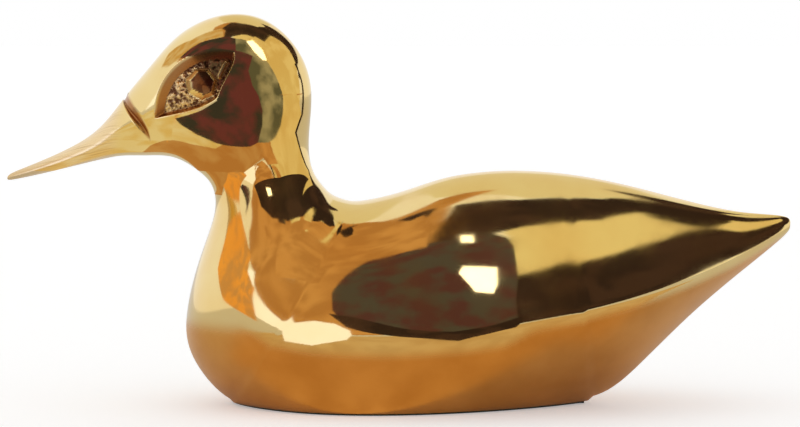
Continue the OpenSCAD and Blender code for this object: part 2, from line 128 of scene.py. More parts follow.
HEAD_ROWS = [
    row(way(THROAT, CHIN, 0.16, 0.39), way(NAPE, CROWN, -0.016, 0.192), swell(0.07), 0.5, 2, 2),
    row(way(THROAT, CHIN, 0.463, 0.745), way(NAPE, CROWN, -0.032, 0.48), swell(0.51), 0.5, 2, 2),
    row(way(THROAT, CHIN, 0.746, 0.944), way(NAPE, CROWN, 0.194, 0.759), swell(0.86), 0.5, 2, 2.1),
    row(CHIN, way(NAPE, CROWN, 0.65, 0.962), swell(1), 0.5, 2, 2.1),
    row(way(CHIN, ROOT, 0.25, 0), way(CROWN, BROW, 0.149, 0.037), narrow(0.05), 0.5, 2, 2.1),
    row(way(CHIN, ROOT, 0.482, 0), way(CROWN, BROW, 0.504, 0.256), narrow(0.27), 0.5, 2, 2),
    row(way(CHIN, ROOT, 0.714, 0), way(CROWN, BROW, 0.762, 0.635), narrow(0.61), 0.5, 2, 1.9),
    row(way(ROOT, TIP, 0, 0.03), BROW, taper(0), 0.5, 2, 1.8),
    row(way(ROOT, TIP, 0.173, 0.19), way(BROW, TIP_TOP, 0.213, 0.395), taper(0.21), 0.48, 2, 1.7),
    row(way(ROOT, TIP, 0.424, 0.475), way(BROW, TIP_TOP, 0.467, 0.635), taper(0.435), 0.45, 2, 1.6),
    row(way(ROOT, TIP, 0.748, 0.82), way(BROW, TIP_TOP, 0.767, 0.836), taper(0.66), 0.42, 2, 1.7),
    row(way(ROOT, TIP, 0.957, 1.01), way(BROW, TIP_TOP, 0.96, 0.95), taper(0.887), 0.45, 2, 2),
    row(TIP, TIP_TOP, taper(1), 0.5, 2, 2)]
ROWS = np.array(TAIL_ROWS + BASE_ROWS + NECK_ROWS + HEAD_ROWS)
LAST = len(ROWS) - 1
HOLLOW_ROW = 3
NECK_ROW = len(TAIL_ROWS) + len(BASE_ROWS) + len(NECK_ROWS) - 1
HEAD_ROW = NECK_ROW + BRAZE_SHARE

# Control rows: each row plus a sixth of the bend there, and one reflected row beyond either end
BENT = ROWS.copy()
BENT[1:-1] += (2 * ROWS[1:-1] - ROWS[:-2] - ROWS[2:]) / 6
CONTROL = np.vstack([2 * ROWS[0] - ROWS[1], BENT, 2 * ROWS[-1] - ROWS[-2]])


def rows_at(u):
    """A uniform cubic B-spline through the rows: four control rows weighted by the cubic basis of u's
    fraction."""
    i = np.clip(np.floor(u).astype(int), 0, LAST - 1)
    f = (u - i)[:, None]
    return ((1 - f) ** 3 * CONTROL[i] + (3 * f ** 3 - 6 * f ** 2 + 4) * CONTROL[i + 1]
            + (3 * f ** 2 + 3 * f + 1 - 3 * f ** 3) * CONTROL[i + 2] + f ** 3 * CONTROL[i + 3]) / 6


def base_half(x):
    """Half width of the flat base at x: 1 minus a power of the distance from the widest place, to a power."""
    ahead = -BASE_WIDE_X - x
    reach = np.where(ahead > 0, ahead / (BASE_FRONT - BASE_WIDE_X), -ahead / (BASE_REAR + BASE_WIDE_X))
    reach = np.minimum(reach, 1)
    return BASE_W / 2 * np.where(ahead > 0, (1 - reach ** 2.3) ** 0.8, (1 - reach ** 1.8) ** 0.9)


def smoothstep(low, high, t):
    """0 below low, 1 above high, and 3t^2 - 2t^3 between them."""
    t = np.clip((t - low) / (high - low), 0, 1)
    return t * t * (3 - 2 * t)


def by_length(points, count):
    """Every row of points resampled at equal steps of its own length; all rows are interpolated in one
    pass."""
    steps = np.linalg.norm(np.diff(points, axis=1), axis=2)
    length = np.concatenate([np.zeros((len(points), 1)), np.cumsum(steps, axis=1)], axis=1)
    share = length / length[:, -1:]
    shift = 2 * np.arange(len(points))[:, None]
    wanted = (np.linspace(0, 1, count)[None, :] + shift).ravel()
    known = (share + shift).ravel()
    out = [np.interp(wanted, known, points[:, :, k].ravel()) for k in range(3)]
    return np.stack(out, axis=-1).reshape(len(points), count, 3), length[:, -1], share


# Points on each raw arc, and the rounding of the chine: its size in millimetres along the hull and at the
# tail, the rows over which it changes, its greatest share of a girth, the passes of the diffusion, and the
# greatest rate at which a pass stays steady
FINE = 240
CHINE_ROUND, TAIL_ROUND, ROUND_ROWS, ROUND_SHARE = 0.55, 1.1, 5, 0.03
PASSES, STEADY = 80, 0.45

# Where the neck grows thicker, as rows before the joint, over how many rows, and its share of the half width
THICK_ROWS, THICK_OVER, THICK_SIDE = 2.6, 1.6, 0.4


def girth_curve(u, count, wall=0.0):
    """Half girths at the loft's places u, from the keel to the back, as (place, girth, xyz).

    A girth is two superellipse arcs that meet at the chine: share = c (1 - cos^(2/e)), half = b + (h - b)
    sin^(2/e) below it, and share = c + (1 - c) sin^(2/e), half = h cos^(2/f) above it. With a wall the row is
    drawn in by it. The curve is then spread evenly by its length and rounded by diffusion along that
    length."""
    r = rows_at(u)
    based = (base_half(r[:, 0]) > 0) & (r[:, 1] < BREAST_H / 3)
    r[:, 1] = np.where(based, 0, np.maximum(r[:, 1], 0))
    base = np.where(based, base_half(r[:, 0]), 0.0)
    if wall:
        near = smoothstep(0, 1, (u - NECK_ROW + THICK_ROWS) / THICK_OVER) * NECK_EXTRA
        run = r[:, 2:4] - r[:, 0:2]
        run /= np.linalg.norm(run, axis=1, keepdims=True)
        k = 1 - wall / (BASE_W / 2)
        thick = (wall + near)[:, None]
        foot = np.stack([(r[:, 0] + BASE_WIDE_X) * k - BASE_WIDE_X, np.zeros(len(r))], axis=1)
        r[:, 0:2] = np.where(based[:, None], foot, r[:, 0:2] + run * thick)
        r[:, 2:4] -= run * thick
        r[:, 4] -= wall + near * THICK_SIDE
        base = base * k
    c, e, f, h = r[:, 5:6], r[:, 6:7], r[:, 7:8], r[:, 4:5]
    base = base[:, None]
    turn = np.linspace(0, np.pi / 2, FINE)[None, :]
    sine, cosine = np.sin(turn), np.maximum(np.cos(turn), 0)
    share = np.concatenate([c * (1 - cosine ** (2 / e)), (c + (1 - c) * sine ** (2 / e))[:, 1:]], axis=1)
    half = np.concatenate([base + (h - base) * sine ** (2 / e), (h * cosine ** (2 / f))[:, 1:]], axis=1)
    x = r[:, 0:1] + (r[:, 2:3] - r[:, 0:1]) * share
    z = r[:, 1:2] + (r[:, 3:4] - r[:, 1:2]) * share
    even, length, shares = by_length(np.stack([x, half, z], axis=-1), count)
    gap = (length / (count - 1))[:, None]
    size = np.where(u < ROUND_ROWS, TAIL_ROUND + (CHINE_ROUND - TAIL_ROUND) * u / ROUND_ROWS, CHINE_ROUND)
    size = np.minimum(size, length * ROUND_SHARE)[:, None]
    rate = np.minimum(size ** 2 / (2 * PASSES * gap ** 2), STEADY)[:, :, None]
    for _ in range(PASSES):
        first = np.where(based[:, None, None], 2 * even[:, :1] - even[:, 1:2], even[:, 1:2] * FLIP)
        wide = np.concatenate([first, even, even[:, -2:-1] * FLIP], axis=1)
        even = even + rate * (wide[:, 2:] - 2 * even + wide[:, :-2])
    even[:, -1, 1] = 0
    even[~based, 0, 1] = 0
    return even, based, length, shares[:, FINE - 1]


# Sine waves of the hand-finished surface: height in millimetres, radians to a millimetre along x, y and z,
# and phase
RIPPLES = [(0.012, (0.16, 0.23, 0.19), 0.4), (0.009, (-0.24, 0.13, 0.21), 1.9),
           (0.005, (0.37, -0.29, 0.22), 3.1), (0.002, (0.12, 0.61, -0.52), 5.2),
           (0.0012, (-0.83, 0.35, 0.62), 2.3)]


def rippled(points, normals):
    """The hand-finished surface: each point moves along its normal by a sum of long sine waves through
    space."""
    wave = sum(a * np.sin(points @ np.array(k) + phase) for a, k, phase in RIPPLES)
    return points + normals * wave[..., None]


def grid_normals(p, mirrored_start, mirrored_end):
    """Unit normals of a grid of points: the cross product of its two directions of running.

    Where a girth begins or ends on the middle plane, its running direction there is square to that plane."""
    along = np.gradient(p, axis=0)
    across = np.gradient(p, axis=1)
    square = np.array([0.0, 1.0, 0.0])
    across[:, 0] = np.where(mirrored_start[:, None], square, across[:, 0])
    across[:, -1] = np.where(mirrored_end, -square, across[:, -1])
    n = np.cross(along, across)
    return n / np.maximum(np.linalg.norm(n, axis=-1, keepdims=True), 1e-12)


def quads(numbers):
    """The four corners of each cell in a grid of vertex numbers."""
    corners = [numbers[:-1, :-1], numbers[1:, :-1], numbers[1:, 1:], numbers[:-1, 1:]]
    return np.stack(corners, axis=-1).reshape(-1, 4)


def folded(line):
    """Quads that close an even-sided flat cap: point j is joined with point n - j of its outline."""
    n = len(line) // 2
    return quads(np.stack([line[:n], line[::-1][:n]]))


def placed(name, data):
    """A new object with the given mesh or camera, in the scene."""
    obj = bpy.data.objects.new(name, data)
    bpy.context.scene.collection.objects.link(obj)
    return obj


def build(name, points, faces, smooth_faces, normals=None, uv=None, masks=None, flipped=False):
    """A mesh object from points in millimetres above the metal's base; faces is a list of arrays of corners.

    The first smooth_faces arrays are shaded smooth with the given normals, and the rest are flat."""
    mesh = bpy.data.meshes.new(name)
    lists = [f for block in faces for f in (block[:, ::-1] if flipped else block).tolist()]
    mesh.from_pydata((points + np.array([0, 0, FELT_T])) * MM, [], lists)
    count = sum(len(block) for block in faces[:smooth_faces])
    mesh.polygons.foreach_set("use_smooth", np.arange(len(lists)) < count)
    corner = np.empty(len(mesh.loops), dtype=np.int32)
    mesh.loops.foreach_get("vertex_index", corner)
    if uv is not None:
        layer = mesh.uv_layers.new(name="finish")
        layer.data.foreach_set("uv", uv[corner].astype(np.float32).ravel())
    for key, values in (masks or {}).items():
        attribute = mesh.attributes.new(key, "FLOAT", "POINT")
        attribute.data.foreach_set("value", values.astype(np.float32))
    if normals is not None:
        first_loops = sum(block.size for block in faces[:smooth_faces])
        split = np.zeros((len(corner), 3))
        split[:first_loops] = normals[corner[:first_loops]]
        mesh.normals_split_custom_set(split)
    mesh.update()
    obj = placed(name, mesh)
    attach(obj, "root")
    return obj


# The joint between neck and head: its middle, the line across it and its axis
JOINT = rows_at(np.array([float(NECK_ROW)]))[0]
JOINT_MID = np.array([(JOINT[0] + JOINT[2]) / 2, 0, (JOINT[1] + JOINT[3]) / 2])
JOINT_LINE = np.array([JOINT[2] - JOINT[0], 0, JOINT[3] - JOINT[1]])
JOINT_LINE /= np.linalg.norm(JOINT_LINE)
JOINT_AXIS = np.array([-JOINT_LINE[2], 0, JOINT_LINE[0]])


def joint_ring(radius, height, turn):
    """A circle round the joint's axis: turn 0 is at the throat, half a turn at the nape, on the side of
    +Y."""
    spread = -np.cos(turn)[:, None] * JOINT_LINE + np.sin(turn)[:, None] * np.array([0, 1.0, 0])
    return JOINT_MID + radius * spread + height * JOINT_AXIS


def onto_row(points, u):
    """The same points moved along the joint's axis until they lie in the plane of the loft's row u."""
    r = rows_at(np.array([float(u)]))[0]
    face = np.array([-(r[3] - r[1]), 0, r[2] - r[0]])
    travel = (np.array([r[0], 0, r[1]]) - points) @ face / (JOINT_AXIS @ face)
    return points + travel[:, None] * JOINT_AXIS


# Points on a half girth, stations to a row, the bore's depth, and the row where the bore takes over from the
# hollow
GIRTH, PER_ROW = 200, 8
BORE_DEPTH = SPIGOT_L + 1
BORE_PLACE = 14.3

# The satin's border in millimetres: where it starts and is full below the chine, the strip under the chine
# that is polished in front with its ramp and the x where it runs out, and the breast's polish by x and by
# height
SATIN_START, SATIN_FULL = 0.2, 4.5
STRIP_WIDTH, STRIP_RAMP, STRIP_OUT = 3, 1.4, (24, 34)
BREAST_END, BREAST_FOOT = (-40, -24), (19, 24)


# The satin mask also lays on the hull's orange brown, a painted reflection of a warm table over the satin
# brass.
def satin_mask(girth_share, chine, length, points):
    """1 below the chine, where the hull is left satin, and 0 above it and on the breast, where it is
    polished: a smooth step of the distance below the chine, less the strip that is polished there in front,
    times the greater of a step towards the tail and a step towards the base."""
    below = (chine[:, None] - girth_share[None, :]) * length[:, None]
    strip = STRIP_WIDTH * (1 - smoothstep(*STRIP_OUT, points[..., 0]))
    below = below - strip * smoothstep(SATIN_START, STRIP_RAMP, below)
    behind, low = smoothstep(*BREAST_END, points[..., 0]), 1 - smoothstep(*BREAST_FOOT, points[..., 2])
    return smoothstep(SATIN_START, SATIN_FULL, below) * np.maximum(behind, low)


def skin(u, count):
    """The finished outer skin on one side as (points, normals, based, length, chine share).

    The stations u carry one spare place beyond either end, which only serves the normals and is left out
    again."""
    points, based, length, chine = girth_curve(u, count)
    ends = np.ones(1, dtype=bool)
    points = rippled(points, grid_normals(points, ~based, ends))
    points[based, 0, 2] = 0
    points[:, -1, 1] = 0
    points[~based, 0, 1] = 0
    normals = grid_normals(points, ~based, ends)
    inside = slice(1, -1)
    return points[inside], normals[inside], based[inside], length[inside], chine[inside]


def with_spares(u):
    """The stations u with one more place before the first and after the last, at the same steps."""
    return np.concatenate([[2 * u[0] - u[1]], u, [2 * u[-1] - u[-2]]])


def unrolled(points, length):
    """Surface measures in millimetres: the running length along the figure and the length along each
    girth."""
    middle = points[:, points.shape[1] // 2]
    run = np.cumsum(np.append(0, np.linalg.norm(np.diff(middle, axis=0), axis=1)))
    girth = np.linspace(0, 1, points.shape[1])[None, :] * length[:, None]
    return np.stack(np.broadcast_arrays(run[:, None], girth), axis=-1)


def half_shell(name, node, side, material):
    """A half casting: the outer skin, the inner skin drawn in by the wall, the flat seam faces on the middle
    plane, the rim round the open base and the end face at the neck with its bore."""
    u = np.arange(NECK_ROW * PER_ROW + 1) / PER_ROW
    outer, normals, based, length, chine = skin(with_spares(u), GIRTH)
    start = HOLLOW_ROW * PER_ROW
    inner = girth_curve(u[(u >= HOLLOW_ROW) & (u < BORE_PLACE)], GIRTH, WALL)[0]
    rings = len(u) - start - len(inner)
    turn = np.linspace(0, np.pi, GIRTH)
    radius = SPIGOT_D / 2 + BRAZE_GAP
    bore = [joint_ring(radius, -BORE_DEPTH * (1 - i / (rings - 1)), turn) for i in range(rings)]
    bore[-1] = onto_row(bore[-1], NECK_ROW)
    inner = np.concatenate([inner, np.stack(bore)])

    m = GIRTH - 1
    o = np.arange(outer.shape[0] * GIRTH).reshape(-1, GIRTH)
    h = o.size + np.arange(inner.shape[0] * GIRTH).reshape(-1, GIRTH)
    keel_seam = quads(np.stack([h[:, 0], o[start:, 0]]))
    back_seam = quads(np.stack([o[start:, m], h[:, m]]))
    tail_seam = quads(np.stack([o[:start, m], o[:start, 0]]))
    joining = np.array([[o[start - 1, 0], o[start - 1, m], o[start, m], h[0, m], h[0, 0], o[start, 0]]])
    faces = [quads(o), quads(h)[:, ::-1], folded(o[0])[:, ::-1], folded(h[0]), keel_seam, back_seam,
             tail_seam, joining[:, ::-1], quads(np.stack([o[-1], h[-1]]))]
    points = np.concatenate([outer.reshape(-1, 3), inner.reshape(-1, 3)])
    shaded = np.concatenate([normals.reshape(-1, 3), np.zeros((h.size, 3))])
    turned = FLIP if side < 0 else np.ones(3)
    uv = np.concatenate([unrolled(outer, length).reshape(-1, 2), np.zeros((h.size, 2))]) * MM
    satin = satin_mask(np.linspace(0, 1, GIRTH), chine, length, outer)
    masks = {"satin": np.concatenate([satin.ravel(), np.ones(h.size)])}
    obj = build(name, points * turned, faces, 1, shaded * turned, uv, masks, flipped=side < 0)
    obj.data.materials.append(material)
    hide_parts(node)
    return obj


def whole_ring(half):
    """Both sides of a half girth grid as closed rings: the half itself, then its mirror image the other
    way."""
    turned = FLIP if half.ndim == 3 and half.shape[2] == 3 else 1
    return np.concatenate([half, half[:, -2:0:-1] * turned], axis=1)


def closed_quads(numbers):
    """The cells of a grid of vertex numbers whose rows close on themselves."""
    return quads(np.concatenate([numbers, numbers[:, :1]], axis=1))


def neck_ring(material):
    """The braze ring: the figure's own skin between neck and head, its two flat faces and the spigot's
    bore."""
    u = np.linspace(NECK_ROW, HEAD_ROW, 8)
    points, normals, _, length, _ = skin(with_spares(u), GIRTH)
    ring = 2 * GIRTH - 2
    turn = np.arange(ring) * 2 * np.pi / ring
    bore = np.stack([onto_row(joint_ring(SPIGOT_D / 2, 0, turn), at) for at in (NECK_ROW, HEAD_ROW)])
    o = np.arange(len(u) * ring).reshape(-1, ring)
    b = o.size + np.arange(2 * ring).reshape(-1, ring)
    faces = [closed_quads(o), closed_quads(b)[:, ::-1], closed_quads(np.stack([o[-1], b[-1]])),
             closed_quads(np.stack([b[0], o[0]]))]
    every = np.concatenate([whole_ring(points).reshape(-1, 3), bore.reshape(-1, 3)])
    shaded = np.concatenate([whole_ring(normals).reshape(-1, 3), np.zeros((b.size, 3))])
    uv = np.concatenate([whole_ring(unrolled(points, length)).reshape(-1, 2), np.zeros((b.size, 2))]) * MM
    obj = build("neck_braze_ring", every, faces, 1, shaded, uv, {"satin": np.zeros(len(every))})
    obj.data.materials.append(material)
    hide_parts("neck_braze")
    return obj


# The carved eye, in a frame on the cheek: x runs to the tail, y up and z out of the cheek
EYE_BACK, EYE_BELOW, EYE_DEPTH = 48.0, 17.6, 1.9
EYE_LEAN, EYE_TURN = math.radians(13), math.radians(8)
EYE_MID = np.array([BILL_X + EYE_BACK, -HEAD_W * 0.475, CROWN_H - EYE_BELOW])
BROW_EDGE = [(-9.8, -8.8), (-9.6, 2.5), (-2, 9.6), (9.9, 8.6)]
REAR_EDGE = [(9.9, 8.6), (11.4, 5.5), (8, 1.5), (6.1, -3.7)]
LOWER_LID = [(6.1, -3.7), (2.5, -6.6), (-4, -7.6), (-9.8, -8.8)]
BROW_SLOPE, REAR_SLOPE, LID_SLOPE = 0.8, 3.0, 1.5
PUPIL_AT, PUPIL_R, PUPIL_RISE, PUPIL_SIDES = np.array([2.0, 0.0]), 4.2, 1.5, 7
PUPIL_TURN, FRONT_BEVEL, REAR_BEVEL = math.radians(12), 0.95, 1.9
LEAF_FROM, LEAF_TO = np.array([6.4, 1.8]), np.array([7.9, 5.6])
LEAF_HALF, LEAF_RISE, LEAF_SLOPE = 0.75, 0.8, 1.6

# Half sizes of the eye's surroundings in its frame, how far behind the cheek they reach, and the least rise
# that counts as the boss
EYE_REACH, EYE_BEHIND, BOSS_LEAST = (13, 11), -8, 0.1

# The groove behind the bill, seen from the side as (x, z): its front edge and its rear edge, both downwards,
# the slopes of its two walls, its depth, and the part of the head in which it is looked for
GROOVE_FRONT = [(-71.2, 79.0), (-69.5, 75.6), (-66.9, 71.3), (-62.8, 66.9)]
GROOVE_REAR = [(-69.0, 79.5), (-66.3, 75.5), (-62.6, 71.5), (-62.8, 66.9)]
FRONT_SLOPE, BACK_SLOPE, GROOVE_DEPTH = 1.6, 0.6, 1.3
GROOVE_ENDS, GROOVE_FOOT = (-74, -60), 65


def bezier(corners, count=32):
    """Points of a cubic curve with the given four corners, at equal steps of its parameter."""
    t = np.linspace(0, 1, count)[:, None]
    p = np.array(corners, dtype=float)
    return (1 - t) ** 3 * p[0] + 3 * t * (1 - t) ** 2 * p[1] + 3 * t * t * (1 - t) * p[2] + t ** 3 * p[3]


def to_line(points, line):
    """Distance of every plane point to a line of points: the least distance to its straight stretches."""
    a, run = line[:-1], np.diff(line, axis=0)
    away = points[:, None, :] - a
    t = np.clip((away * run).sum(-1) / (run * run).sum(-1), 0, 1)
    return np.linalg.norm(away - t[..., None] * run, axis=-1).min(axis=1)


def within(points, outline):
    """Whether each plane point lies inside a closed outline: an odd number of edges cross its ray to the
    right."""
    a, b = outline, np.roll(outline, -1, axis=0)
    x, y = points[:, :1], points[:, 1:]
    rise = np.where(b[:, 1] == a[:, 1], 1e-12, b[:, 1] - a[:, 1])
    crossing = ((a[:, 1] > y) != (b[:, 1] > y)) & (x < a[:, 0] + (y - a[:, 1]) / rise * (b[:, 0] - a[:, 0]))
    return crossing.sum(axis=1) % 2 == 1


def pocket(points, walls, floor):
    """Depth of a carved pocket: outside its outline 0, inside it the least of the floor's depth and each
    wall's slope times the distance to that wall's upper edge. walls is a list of (edge line, slope)."""
    outline = np.concatenate([line[:-1] for line, _ in walls])
    depth = np.zeros(len(points))
    inside = within(points, outline)
    p = points[inside]
    slopes = [slope * to_line(p, line) for line, slope in walls]
    depth[inside] = np.min([np.full(len(p), floor)] + slopes, axis=0)
    return depth


def pupil_height(p):
    """A low many-sided boss: its top, or the bevel's slope times the depth inside the nearest side. The front
    bevels are the gentler ones."""
    angle = np.arange(PUPIL_SIDES) * 2 * np.pi / PUPIL_SIDES + PUPIL_TURN + np.pi / PUPIL_SIDES
    side = np.stack([np.cos(angle), np.sin(angle)])
    slope = np.where(side[0] < -0.2, FRONT_BEVEL, REAR_BEVEL)
    room = PUPIL_R * math.cos(math.pi / PUPIL_SIDES) - (p - PUPIL_AT) @ side
    return np.clip(np.min(room * slope, axis=1), 0, PUPIL_RISE)


def leaf_height(p):
    """A small raised leaf behind the pupil: its slope times the distance inside its edge, up to its rise."""
    return np.clip(LEAF_SLOPE * (LEAF_HALF - to_line(p, np.stack([LEAF_FROM, LEAF_TO]))), 0, LEAF_RISE)


def carved(points):
    """The head's skin with its carving, one side at a time: (points, depth share, stipple share, boss share,
    pupil share), where the boss is the pupil with its bevels and the pupil is its top alone.

    In the eye the skin sinks along the cheek's own axis, and in the groove towards the bill's middle."""
    shape = points.shape[:2]
    p = points.reshape(-1, 3) * FLIP
    axes = np.array(Matrix.Rotation(-EYE_TURN, 3, "Z") @ Matrix.Rotation(math.pi / 2 - EYE_LEAN, 3, "X"))
    local = (p - EYE_MID) @ axes
    plane = local[:, :2]
    near = (np.abs(plane) < EYE_REACH).all(axis=1) & (local[:, 2] > EYE_BEHIND)
    eye, groove, floor_share, boss, top = np.zeros((5, len(p)))
    walls = [(bezier(BROW_EDGE), BROW_SLOPE), (bezier(REAR_EDGE), REAR_SLOPE), (bezier(LOWER_LID), LID_SLOPE)]
    spot = plane[near]
    hollow = pocket(spot, walls, EYE_DEPTH)
    raised = np.maximum(pupil_height(spot), leaf_height(spot))
    eye[near] = np.minimum(hollow, EYE_DEPTH - raised)
    floor_share[near] = (hollow > EYE_DEPTH * 0.97) & (raised < BOSS_LEAST)
    boss[near] = raised > BOSS_LEAST
    top[near] = pupil_height(spot) > PUPIL_RISE * 0.98
    groove_walls = [(bezier(GROOVE_FRONT), FRONT_SLOPE), (bezier(GROOVE_REAR)[::-1], BACK_SLOPE)]
    side_view = p[:, [0, 2]]
    close = (side_view[:, 0] > GROOVE_ENDS[0]) & (side_view[:, 0] < GROOVE_ENDS[1])
    close &= side_view[:, 1] > GROOVE_FOOT
    groove[close] = pocket(side_view[close], groove_walls, GROOVE_DEPTH)
    middle = np.repeat(points.mean(axis=1)[:, None], shape[1], axis=1).reshape(-1, 3) * np.array([1, 0, 1])
    inward = middle - p
    inward /= np.linalg.norm(inward, axis=1, keepdims=True)
    p = p - eye[:, None] * axes[:, 2] + groove[:, None] * inward
    share = np.maximum(eye / EYE_DEPTH, groove / GROOVE_DEPTH)
    return (p * FLIP).reshape(*shape, 3), *(part.reshape(shape) for part in (share, floor_share, boss, top))


# Points on the head's half girth, the rows between which its carving lies with the stations in each of the
# three stretches, and the rows over which the file marks begin
HEAD_GIRTH = 160
CARVED_FROM, CARVED_TO, STATIONS = 18.4, 24.6, (20, 220, 48)
FILED_ROWS = (23.6, 24.6)


def head(material):
    """The solid head and bill: closed girths from the braze ring to the bill's tip, closer together where the
    eye and the groove are carved, and below them the spigot that goes down into the neck."""
    u = np.concatenate([np.linspace(HEAD_ROW, CARVED_FROM, STATIONS[0])[:-1],
                        np.linspace(CARVED_FROM, CARVED_TO, STATIONS[1])[:-1],
                        np.linspace(CARVED_TO, LAST, STATIONS[2])])
    points, normals, _, length, _ = skin(with_spares(u), HEAD_GIRTH)
    flat = unrolled(points, length)
    points, depth, stipple, boss, pupil = carved(points)
    cut = grid_normals(points, np.ones(len(u), dtype=bool), np.ones(1, dtype=bool))
    touched = np.zeros_like(depth, dtype=bool)
    touched[1:-1, 1:-1] = (depth[1:-1, 1:-1] + depth[2:, 1:-1] + depth[:-2, 1:-1]
                           + depth[1:-1, 2:] + depth[1:-1, :-2]) > 0
    touched[:, [0, -1]] = depth[:, [0, -1]] > 0
    normals = np.where(touched[..., None], cut, normals)
    ring = 2 * HEAD_GIRTH - 2
    turn = np.arange(ring) * 2 * np.pi / ring
    spigot = np.stack([onto_row(joint_ring(SPIGOT_D / 2, 0, turn), HEAD_ROW),
                       joint_ring(SPIGOT_D / 2, -SPIGOT_L, turn)])
    o = np.arange(len(u) * ring).reshape(-1, ring)
    b = o.size + np.arange(2 * ring).reshape(-1, ring)
    faces = [closed_quads(o), closed_quads(b)[:, ::-1], closed_quads(np.stack([b[0], o[0]])),
             folded(b[1])[:, ::-1], folded(o[-1])]
    every = np.concatenate([whole_ring(points).reshape(-1, 3), spigot.reshape(-1, 3)])
    shaded = np.concatenate([whole_ring(normals).reshape(-1, 3), np.zeros((b.size, 3))])
    uv = np.concatenate([whole_ring(flat).reshape(-1, 2), np.zeros((b.size, 2))]) * MM
    filed = np.broadcast_to(smoothstep(*FILED_ROWS, u)[:, None], depth.shape)
    rest = np.zeros(b.size)
    masks = {key: np.concatenate([whole_ring(part).ravel(), rest]) for key, part in
             (("filed", filed), ("carved", depth), ("stipple", stipple), ("boss", boss), ("pupil", pupil))}
    masks["satin"] = np.zeros(len(every))
    obj = build("head_and_bill", every, faces, 1, shaded, uv, masks)
    obj.data.materials.append(material)
    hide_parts("head")
    return obj


# The felt's grid: points round its outline, rings on each face, and rings round its edge
FELT_ROUND, FELT_RINGS, EDGE_RINGS = 160, 14, 9


def felt(material):
    """The felt: its outline is the base's drawn in, and rings from the middle to the rounded edge and back
    make the upper face, the edge and the underside."""
    turn = np.arange(FELT_ROUND) * 2 * np.pi / FELT_ROUND
    x = (BASE_REAR - BASE_FRONT) / 2 - BASE_L / 2 * np.cos(turn)
    edge = np.stack([x, np.where(turn < np.pi, 1, -1) * base_half(x)], axis=1)
    run = np.roll(edge, -1, axis=0) - np.roll(edge, 1, axis=0)
    out = np.stack([-run[:, 1], run[:, 0]], axis=1)
    out /= np.maximum(np.linalg.norm(out, axis=1, keepdims=True), 1e-9)
    edge = edge - out * FELT_INSET
    middle = edge.mean(axis=0)
    radius = FELT_T / 2
    bow = np.linspace(np.pi / 2, -np.pi / 2, EDGE_RINGS)
    outward, even = np.linspace(0.02, 0.98, FELT_RINGS), np.full(FELT_RINGS, radius)
    inward = np.concatenate([outward, np.ones(EDGE_RINGS), outward[::-1]])
    drawn = np.concatenate([even, radius * (1 - np.cos(bow)), even])
    height = np.concatenate([2 * even, radius + radius * np.sin(bow), 0 * even]) - FELT_T
    flat = middle + (edge[None] - middle) * inward[:, None, None] - out[None] * drawn[:, None, None]
    rings = np.concatenate([flat, np.broadcast_to(height[:, None, None], (*flat.shape[:2], 1))], axis=-1)
    numbers = np.arange(rings.shape[0] * len(turn)).reshape(-1, len(turn))
    faces = [closed_quads(numbers), folded(numbers[0])[:, ::-1], folded(numbers[-1])]
    obj = build("base_felt", rings.reshape(-1, 3), faces, 3, uv=rings[..., :2].reshape(-1, 2) * MM)
    obj.data.materials.append(material)
    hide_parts("felt_pad")
    return obj


def add(tree, kind, links=None, values=None, **settings):
    """A shader node with its settings, its input values by name and its links as input name to output
    socket."""
    made = tree.nodes.new(kind)
    for key, value in settings.items():
        setattr(made, key, value)
    for key, value in (values or {}).items():
        made.inputs[key].default_value = value
    for key, socket in (links or {}).items():
        tree.links.new(socket, made.inputs[key])
    return made


def blend(tree, share, first, second):
    """A colour part of the way from first to second; each is a colour or a socket."""
    made = tree.nodes.new("ShaderNodeMix")
    made.data_type = "RGBA"
    for index, value in ((0, share), (6, first), (7, second)):
        if isinstance(value, bpy.types.NodeSocket):
            tree.links.new(value, made.inputs[index])
        else:
            made.inputs[index].default_value = value if index == 0 else (*value, 1)
    return made.outputs[2]


def between(tree, socket, low, high, to_low=0.0, to_high=1.0):
    """A value carried from the range low to high into another range, and held there."""
    made = add(tree, "ShaderNodeMapRange", {"Value": socket},
               {"From Min": low, "From Max": high, "To Min": to_low, "To Max": to_high})
    return made.outputs["Result"]


def noise(tree, place, scale, detail=2.0, roughness=0.5):
    """Cloudy noise from 0 to 1 at a place, with the given number of clouds to the metre."""
    made = add(tree, "ShaderNodeTexNoise", {"Vector": place},
               {"Scale": scale, "Detail": detail, "Roughness": roughness})
    return made.outputs["Fac"]


def stretched(tree, place, scale):
    """A place with each direction scaled by itself, for marks that run one way."""
    return add(tree, "ShaderNodeMapping", {"Vector": place}, {"Scale": scale}).outputs["Vector"]


def new_finish(name):
    """A new material as (material, its node tree, its shader, the place on Object coordinates)."""
    material = bpy.data.materials.new(name)
    material.use_nodes = True
    tree = material.node_tree
    place = tree.nodes.new("ShaderNodeTexCoord").outputs["Object"]
    return material, tree, tree.nodes["Principled BSDF"], place


# Colours of the brass: polished; satin below the chine, tinted orange brown as a painted reflection of a warm
# table; filed on the bill, with painted shade along the file marks; painted shade and reflection in the
# carving; patina in the eye's stippled floor, which also paints a dark reflection on the pupil's top; and cut
# gold
POLISHED, HONEY = (0.84, 0.66, 0.31), (0.80, 0.57, 0.23)
HULL_TABLE_REFLECTION, HULL_TABLE_REFLECTION_DARK = (0.74, 0.36, 0.09), (0.62, 0.28, 0.06)
FILED_GOLD, FILE_MARK_SHADE = (0.84, 0.64, 0.36), (0.50, 0.31, 0.14)
PATINA_AND_DARK_REFLECTION, CUT_SHADE, CUT_GOLD = (0.11, 0.045, 0.02), (0.42, 0.20, 0.07), (0.78, 0.54, 0.24)
BRAZE_YELLOW, BRAZE_BROWN = (0.62, 0.44, 0.16), (0.32, 0.19, 0.07)
FELT_SHADE, FELT_FIBRE = (0.015, 0.03, 0.02), (0.05, 0.085, 0.06)

